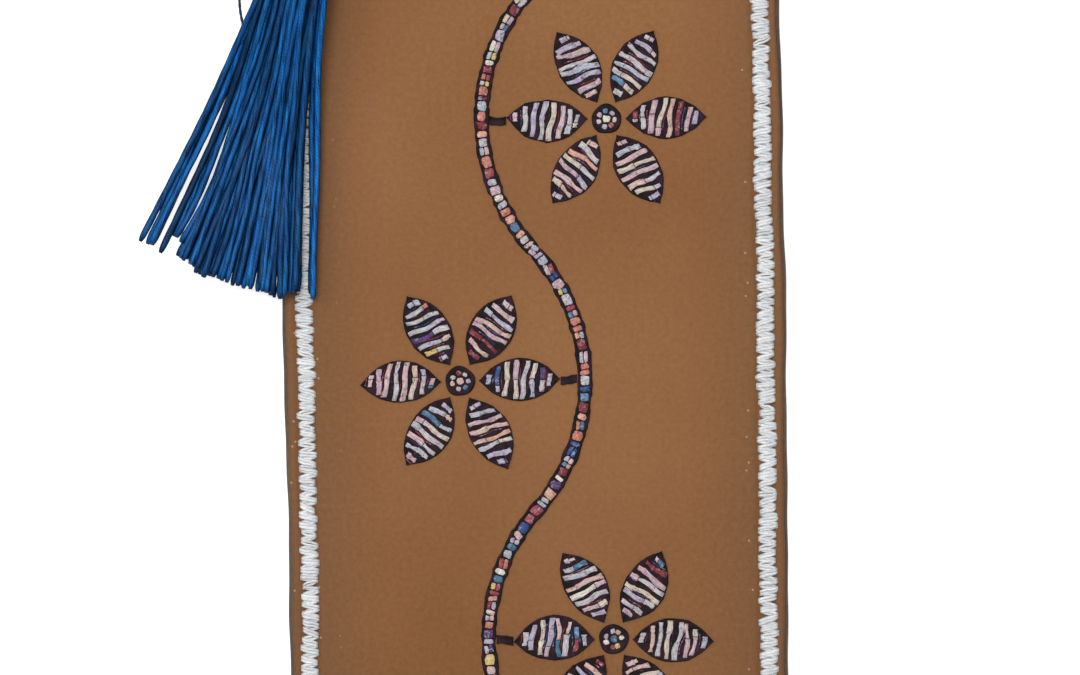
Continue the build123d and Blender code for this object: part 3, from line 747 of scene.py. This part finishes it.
def inked_band(path, across, half, luck):
    """Rings of a flat paper band along paths[stack, row], with a thick ink line raised along both rims.

    Round a ring: the flat underside, then up one rim, down to the paper in the middle and over the other rim.
    """
    room = np.minimum(1, half / 0.75)
    steps = np.array([0.0, 0.0, 0.0, 0.0, 0.07, 0.18, 0.32, 0.0, 0.32, 0.18, 0.07, 0.0])
    side = np.array([-1, 0, 1, 1, 1, 1, 1, 0, -1, -1, -1, -1])
    level = np.array([-0.1, -0.1, -0.1, 0.12, 0.21, 0.22, 0.15, 0.15, 0.15, 0.22, 0.21, 0.12])
    rough = luck.normal(0, 0.035, (*half.shape, 1)) * np.ones(12)
    breadth = side * (half[..., None] + rough * room[..., None]) - side * steps * room[..., None]
    return path[:, :, None] + breadth[..., None] * across[:, :, None] + UP * level[:, None]


def pebbles(centre, heading, length, breadth, low, high, power, luck):
    """Rings of flat cut bits: rounded rectangles at three levels, the top one drawn in a little.

    The outline is a superellipse, the sign times a power of the cosine and sine, along the heading and
    across it, with each bit's rim strayed.
    """
    angle = (np.arange(10) + 0.5) / 10 * TURN
    reach = np.sign(np.cos(angle)) * np.abs(np.cos(angle)) ** power
    spread = np.sign(np.sin(angle)) * np.abs(np.sin(angle)) ** power
    stray = 1 + luck.normal(0, 0.09, (len(centre), 1, 10))
    draw = np.array([1.0, 1.0, 0.86])[:, None] * stray
    ahead, aside = (way[:, None, None] for way in bearings(heading))
    along = (length[:, None, None] / 2 * reach * draw)[..., None] * ahead
    across = (breadth[:, None, None] / 2 * spread * draw)[..., None] * aside
    level = np.array([low, high - 0.04, high])[:, None, None] * UP
    return centre[:, None, None] + along + across + level


def petal_strips(centre, ahead, aside, along, bend, luck):
    """Rings and tints of one petal's paper: strips across it in two parts each, with slivers beside some.

    A strip's middle line leans by a slope and swerves by a sine on its way across. Its breadth strays, and
    its top is a low arch. A sliver that is not wanted shrinks to a hair.
    """
    many = STRIP_COUNT
    middle = (FLOWER_REACH - PETAL_START) / 2
    at = middle + (np.arange(many) - (many - 1) / 2) * STRIP_PITCH + luck.normal(0, 0.06, many)
    slope = math.tan(STRIP_SLANT) + luck.normal(0, 0.07, many)
    ends = at + slope * petal_half(at) * np.array([[-1.0], [1.0]])
    left, right = np.maximum(np.minimum(petal_half(ends - 0.3), petal_half(ends + 0.3)) - 0.15, 0.15)
    split = -left + luck.uniform(0.2, 0.8, many) * (left + right)
    bent = np.interp(at, along, bend)
    swerve, shift = luck.uniform(0.05, 0.13, (many, 1)), luck.uniform(0, TURN, (many, 1))
    wanted = luck.random(many)[:, None] < 0.4
    shared = tints(luck, many, 0.06)
    parted = luck.random(many) < 0.35
    other = np.where(parted[:, None], tints(luck, many, 0.15), shared)
    crack = np.where(parted, 0.03, -0.02)
    share = np.linspace(0, 1, 6)
    arch = np.array([1, 1, 0.9, 0.3, -0.3, -0.9, -1, -1])
    level = np.array([0.1, 0.2, 0.225, 0.235, 0.235, 0.225, 0.2, 0.1])
    strips = []
    for low, high, off, wide in (
        (-left, split - crack, 0.0, 0.24),
        (split + crack, right, 0.0, 0.24),
        (-0.7 * left, 0.6 * right, 0.44, 0.06),
    ):
        c = low[:, None] + (high - low)[:, None] * share
        lean = off + slope[:, None] * c + swerve * np.sin(2.1 * c + shift)
        spot = PETAL_START + at[:, None] + lean
        flat = centre + spot[..., None] * ahead + (c + bent[:, None])[..., None] * aside
        breadth = wide * luck.normal(1, 0.12, (many, 1)) + luck.normal(0, 0.12 * wide, (many, 6))
        breadth = np.maximum(breadth, 0.03)
        if off:
            breadth = np.where(wanted, breadth, 0.01)
        breadth = breadth[..., None] * arch
        strips.append(flat[:, :, None] + breadth[..., None] * ahead + level[:, None] * UP)
    return strips, [shared, other, SLIVER_TINTS[luck.integers(0, len(SLIVER_TINTS), many)]]


def flower_shells(number):
    """Ground and paper of one flower: petals round an eye, each crossed by strips of paper."""
    luck = np.random.default_rng(40 + number)
    side = -1 if number % 2 == 0 else 1
    centre = np.array([side * FLOWER_OFFSET, flower_y(number), FACE])
    turn = np.arange(PETAL_COUNT) * TURN / PETAL_COUNT + luck.normal(0, 0.03, PETAL_COUNT)
    ahead, aside = bearings(turn)
    length = FLOWER_REACH - PETAL_START
    tip = np.array([0.0, 0.12, 0.35, 0.7, 1.2, 1.8, 2.5, 3.3])
    along = np.concatenate([tip, [length / 2], length - tip[::-1]])
    bend = luck.normal(0, 0.25, (PETAL_COUNT, 1)) * np.sin(math.pi * along / length)
    path = centre + (PETAL_START + along)[:, None] * ahead[:, None] + bend[..., None] * aside[:, None]
    half = np.maximum(petal_half(along), 0.04) * luck.normal(1, 0.03, (PETAL_COUNT, 1))
    ground = [shell(inked_band(path, np.broadcast_to(aside[:, None], path.shape), half, luck))]
    # The eye's ground: a disc with a raised rim
    rim = np.array([(1.45, -0.1), (1.5, 0.1), (1.42, 0.2), (1.25, 0.22), (1.08, 0.15), (0.6, 0.15)])[:, None]
    angle = np.arange(28) / 28 * TURN
    wobble = 1 + 0.03 * np.sin(3 * angle + number) + 0.02 * np.sin(5 * angle)
    ground.append(shell(centre + swept(rim[..., 0] * wobble, angle, rim[..., 1])[None]))
    strips, colours = [], []
    for petal in range(PETAL_COUNT):
        rings, dyes = petal_strips(centre, ahead[petal], aside[petal], along, bend[petal], luck)
        strips, colours = strips + rings, colours + dyes
    paper = [shell(np.concatenate(strips), tint=np.concatenate(colours))]
    # The eye's paper: a ring of bits round a larger one
    bits = 7
    spoke = np.arange(bits) * TURN / bits + luck.normal(0, 0.1, bits)
    spots = np.concatenate([centre + 0.8 * bearings(spoke)[0], [centre]])
    reach = np.append(luck.normal(0.5, 0.04, bits), 0.75)
    spread = np.append(luck.normal(0.52, 0.04, bits), 0.75)
    rings = pebbles(spots, np.append(spoke, 0.0), reach, spread, 0.1, 0.27, 0.8, luck)
    paper.append(shell(rings, tint=tints(luck, bits + 1, 0.5)))
    return ground, paper


def stem_place(gone):
    """Points and headings of the stem at distances along it, and its length.

    It is one arc for each flower, bulging away from it.
    """
    half = FLOWER_PITCH / 2
    radius = (half**2 + WAVE_HEIGHT**2) / (2 * WAVE_HEIGHT)
    span = math.asin(half / radius)
    arc = 2 * radius * span
    number = np.clip(np.floor(gone / arc), 0, FLOWER_COUNT - 1)
    angle = (gone - number * arc) / radius - span
    side = np.where(number % 2 == 0, 1.0, -1.0)
    x = side * (radius * np.cos(angle) - (radius - WAVE_HEIGHT))
    y = flower_y(number) + radius * np.sin(angle)
    heading = np.arctan2(np.cos(angle), -side * np.sin(angle))
    return np.stack([x, y, FACE + 0 * x], -1), heading, arc * FLOWER_COUNT


def stem_shells():
    """The inked band of the stem with its stalks, and the row of paper bits along it, some in pairs."""
    luck = np.random.default_rng(77)
    length = stem_place(np.zeros(1))[2]
    gone = np.linspace(0, length, 420)
    points, heading, _ = stem_place(gone)
    aside = bearings(heading)[1]
    rough = 0.05 * np.sin(gone * 1.9) + 0.03 * np.sin(gone * 4.7)
    half = np.minimum(STEM_HALF + rough, 0.3 + 6 * np.minimum(gone, length - gone))
    ground = [shell(inked_band(points[None], aside[None], half[None], luck))]
    number = np.arange(FLOWER_COUNT)
    side = np.where(number % 2 == 0, 1.0, -1.0)
    share = np.linspace(0, 1, 7)
    x = side[:, None] * (WAVE_HEIGHT - STEM_HALF - STALK_GAP - STALK_LENGTH * share)
    y = flower_y(number)[:, None] + 0.12 * np.sin(3 * share + number[:, None])
    stalks = np.stack([x, y, FACE + 0 * x], -1)
    across = np.broadcast_to(LENGTHWISE, stalks.shape)
    ground.append(shell(inked_band(stalks, across, np.full(x.shape, STALK_HALF), luck)))
    bit_gap, start = 0.1, 0.2
    lengths = luck.uniform(0.32, 1.15, 360)
    ends = np.cumsum(lengths + bit_gap)
    inside = ends < length - 2 * start
    lengths, middles = lengths[inside], (ends - bit_gap - lengths / 2)[inside] + start
    spots, ways, _ = stem_place(middles)
    breadth = luck.normal(0.92, 0.06, len(lengths))
    ways = ways + luck.normal(0, 0.12, len(lengths))
    beside = bearings(ways)[1] * (0.25 * breadth)[:, None]
    paired = luck.random(len(lengths)) < 0.3
    spots = np.concatenate([np.where(paired[:, None], spots + beside, spots), (spots - beside)[paired]])
    breadth = np.concatenate([np.where(paired, 0.46, 1.0) * breadth, 0.46 * breadth[paired]])
    lengths, ways = (np.concatenate([column, column[paired]]) for column in (lengths, ways))
    bits = pebbles(spots, ways, lengths, breadth, 0.1, 0.27, 0.5, luck)
    return ground, [shell(bits, tint=tints(luck, len(lengths), 0.6))]


def collage_pieces(name, shells, ground_name, paper_name):
    """The ground and the paper of one motif as two pieces."""
    ground = make_piece(f"{name}_{ground_name}", shells[0], INK)
    place_piece(ground, "panel", "collage_ground", f"{name}_ground")
    paper = make_piece(f"{name}_{paper_name}", shells[1], PAPER)
    place_piece(paper, "panel", "collage_paper", f"{name}_paper")


for number in range(FLOWER_COUNT):
    collage_pieces(f"flower_{number + 1}", flower_shells(number), "inked_petals", "paper_strips")
collage_pieces("stem", stem_shells(), "inked_band", "paper_bits")


# Tassel: places across, up and along it from its knot

# Each side strand's place across at four stations down the skirt, its height at neck and tip, and how much
# shorter it is cut
STATIONS = [0.0, 0.4, 0.7, 1.0]
SIDE_STRANDS = [
    (-1.03, -4.6, -6.88, -9.42, 1.3, -2.8, 0.0), (-1.5, -4.3, -6.55, -8.75, 0.9, -3.1, 0.5),
    (-1.9, -3.97, -5.95, -8.35, 0.5, -2.85, 0.0), (-1.6, -4.4, -6.3, -9.0, 0.0, -3.55, 1.3),
    (-1.6, -3.7, -5.9, -8.4, 0.3, -3.3, 0.6),
    (-1.7, -3.4, -4.87, -7.08, 1.2, -2.75, 0.0), (-1.5, -3.05, -4.5, -6.85, 0.7, -3.3, 1.9),
    (-1.1, -2.65, -4.0, -6.65, 1.4, -2.8, 2.0),
    (-1.4, -2.3, -3.22, -5.95, 0.9, -2.7, 1.5), (-1.3, -2.1, -3.1, -5.5, 0.2, -3.4, 0.2),
    (2.6, 4.46, 6.65, 9.15, 1.2, -2.8, 0.0), (2.1, 3.98, 6.25, 8.9, 0.5, -3.3, 0.3),
    (2.0, 3.4, 5.0, 7.6, 0.2, -3.4, 0.4),
]
# The line of the cut tips: places across the skirt, and how far down it reaches there
TIP_LINE = [
    (-9.3, 46.0), (-8.5, 46.6), (-6.66, 46.6), (-4.8, 46.8), (-3.8, 47.3), (-3.1, 47.7), (-2.3, 48.0),
    (-0.4, 47.8), (0.35, 48.0), (2.1, 48.0), (4.3, 48.0), (5.6, 48.5), (6.1, 48.0), (6.7, 47.7),
    (7.3, 47.3), (9.0, 47.6),
]
# The slits that the middle strands stay between, at the stations
LEFT_SLIT, RIGHT_SLIT = (-1.9, -2.15, -3.1, -5.05), (1.95, 3.2, 4.98, 7.5)


def through_stations(values, t):
    """The cubic through four values at the stations.

    It is the sum of each value times the ways to the other stations, as shares of its own ways to them.
    """
    total = 0
    for value, own in zip(values, STATIONS):
        others = [(t - other) / (own - other) for other in STATIONS if other != own]
        total = total + value * np.prod(others, axis=0)
    return total


def strand_table():
    """All strands as rows: across at four stations, height at neck and tip, cut short, lift on the way.

    The middle ones lie in three layers, in even ranks across that stray, every other one a little higher.
    """
    luck = np.random.default_rng(5)
    rows = [(*strand, 0.25) for strand in SIDE_STRANDS]
    for count, neck_up, tip_up in ((19, -1.5, -3.55), (20, -0.3, -2.98), (22, 0.9, -2.4)):
        rank = (np.arange(count) + 0.5) / count
        lift = np.where(np.arange(count) % 2 == 1, 0.27, -0.25)
        a, b, c, d = luck.normal(0, 1, (4, count))
        across = [-1.7 + 3.6 * rank + 0.32 * a, -1.95 + 5.1 * rank + 0.32 * b]
        across += [-3.05 + 8.1 * rank + 0.2 * (b + c), -5.0 + 12.6 * rank + 0.24 * c]
        rows += list(zip(*across, neck_up + lift, tip_up + 0.08 * d, 0 * d, lift))
    return np.array(rows)


def strand_paths():
    """Centre lines of the strands: across, a cubic through four places; up, a settling on the bed.

    A strand that lies high on the way comes down last. Slow waves make no two strands alike, and the middle
    ones stay between the slits beside the outer bundles.
    """
    luck = np.random.default_rng(6)
    *places, neck_up, tip_up, short, lift = (column[:, None] for column in strand_table().T)
    tip = places[-1]
    contour = np.array(TIP_LINE)
    under = np.clip((-2.6 - tip_up) * 0.8, 0, 1)
    end = np.interp(tip, contour[:, 0], contour[:, 1]) - short
    end = end + luck.normal(0, 0.14, end.shape)
    end = end - under * (short == 0) * np.abs(luck.normal(0, 0.5, end.shape))
    share = np.linspace(0, 1, 100)
    hidden = 0.9
    along = NECK_END - hidden + (end - NECK_END + hidden) * share
    t = (along - NECK_END) / SKIRT_LENGTH
    across = np.where(t < 0, places[0], through_stations(places, t))
    phase = luck.uniform(0, TURN, end.shape)
    across = across + 0.12 * np.sin(along / luck.uniform(2.2, 5.0, end.shape) + phase) * smooth(t * 3)
    inner = np.arange(len(tip))[:, None] >= len(SIDE_STRANDS)
    left, right = through_stations(LEFT_SLIT, t), through_stations(RIGHT_SLIT, t)
    across = np.where(inner, np.clip(across, left, right), across)
    settle = smooth(t / 0.62)
    up = neck_up + (tip_up - neck_up) * settle + lift * smooth(t / 0.3) * (1 - smooth((t - 0.35) / 0.5))
    up = up + 0.05 * np.sin(along / 3.1 + 2 * phase) * smooth(t * 3)
    up = np.maximum(up, BED + 0.4)
    return np.stack([across, up, along], -1), t


def skirt_shell():
    """The strands: plied yarn, thin at the neck, looser below, drawn in and darker at the cut end."""
    luck = np.random.default_rng(8)
    path, t = strand_paths()
    count = len(path)
    outer = np.arange(count)[:, None] < len(SIDE_STRANDS)
    radius = (0.24 + 0.07 * smooth(t / 0.22) + 0.02 * t) * luck.normal(1, 0.1, (count, 1)).clip(0.8, 1.2)
    radius = np.where(outer, 0.25 + 0.1 * smooth(t / 0.22), radius)
    share = np.linspace(0, 1, path.shape[1])
    rounded = 1 - 0.45 * smooth((share - 0.985) / 0.015)
    tone = np.clip(luck.normal(1.0, 0.36, (count, 1)), 0.4, 1.7) * (1 - 0.4 * smooth((share - 0.982) / 0.014))
    waves = share * luck.uniform(2, 6, (count, 1)) + luck.random((count, 1))
    tone = tone * (1 + 0.1 * np.sin(TURN * waves))
    forward = np.array([0, 1.0, 0])
    rings = twisted_tube(path, forward, radius * rounded, columns=10, plies=2, lay=5.6, depth=0.09)
    return shell(to_tassel(rings), YARN_AROUND, tone=tone)


def head_shell():
    """The head: strands folded over the cord's knot, as flutes that turn slightly down a ball to the neck.

    The profile goes from the hollow under the knot over the ball to the bound neck. A flute is a hump, the
    size of a cosine, round the axis.
    """
    dip = np.linspace(0.15, 0.87, 5)
    hollow = np.stack([1.5 * np.sin(dip), 1.5 * np.cos(dip)], -1)
    first = math.atan2(1.146, HEAD_CENTRE - 0.968)
    slope = np.linspace(first, math.pi - math.asin(NECK_RADIUS / HEAD_RADIUS), 30)
    ball = np.stack([HEAD_RADIUS * np.sin(slope), HEAD_CENTRE - HEAD_RADIUS * np.cos(slope)], -1)
    neck = np.stack([np.full(8, NECK_RADIUS), np.linspace(NECK_START + 0.3, NECK_END - 0.1, 8)], -1)
    profile = np.concatenate([hollow, ball, neck, [[1.2, NECK_END]]])
    flutes, points = 27, 8
    angle = np.arange(flutes * points) / (flutes * points) * TURN
    luck = np.random.default_rng(21)
    uneven = np.repeat(luck.normal(0, 0.03, flutes), points)
    gone = np.linspace(0, 1, len(profile))[:, None]
    hump = np.abs(np.cos(flutes / 2 * angle))
    turned = angle - 0.35 * gone
    deep = np.minimum(profile[:, :1] * 0.1, 0.34)
    radius = profile[:, :1] - deep * (1 - hump) + deep * uneven
    rings = to_tassel(swept(radius, turned, profile[:, 1:]))
    return shell(rings[None], flutes * YARN_AROUND / 2, tone=[0.95])


def binding_shell():
    """The thread round the neck: seven close turns of a helix, a little uneven."""
    pitch, thread = 0.475, 0.27
    turns = np.linspace(0, 7, 337)
    radius = NECK_RADIUS + 0.28 + 0.02 * np.sin(turns * 9.1)
    along = NECK_START + 0.3 + pitch * turns + 0.03 * np.sin(turns * 2.3)
    line = to_tassel(swept(radius, turns * TURN, along))[None]
    axis = to_tassel(np.array([0, 0, 1.0])) - KNOT
    rings = twisted_tube(line, axis, thread, columns=10, plies=2, lay=2.0, depth=0.18)
    return shell(rings, YARN_AROUND, tone=[0.9])


def stray_shell():
    """The binding's loose end: out beside the skirt, and in again under its edge."""
    route = [(-3.0, -0.5, 12.15), (-4.3, -1.4, 13.35), (-5.5, -2.4, 15.35), (-5.8, -3.1, 17.95)]
    route += [(-5.2, -3.5, 20.55), (-4.7, -3.5, 21.9), (-4.0, -3.4, 23.3)]
    line = route_line("stray_route", to_tassel(np.array(route)))[None]
    rings = twisted_tube(line, UP, radius=0.15, columns=8, plies=2, lay=1.4, depth=0.2)
    return shell(rings, YARN_AROUND, tone=[0.6])


for name, made, stands_for in (
    ("tassel_strands", skirt_shell(), "tassel_skirt"),
    ("tassel_head_folds", head_shell(), "tassel_head"),
    ("neck_binding_thread", binding_shell(), "neck_binding"),
    ("stray_binding_end", stray_shell(), "stray_thread"),
):
    place_piece(make_piece(name, [made], BLUE_YARN), "tassel", "tassel_yarn", stands_for)

bpy.context.view_layer.update()
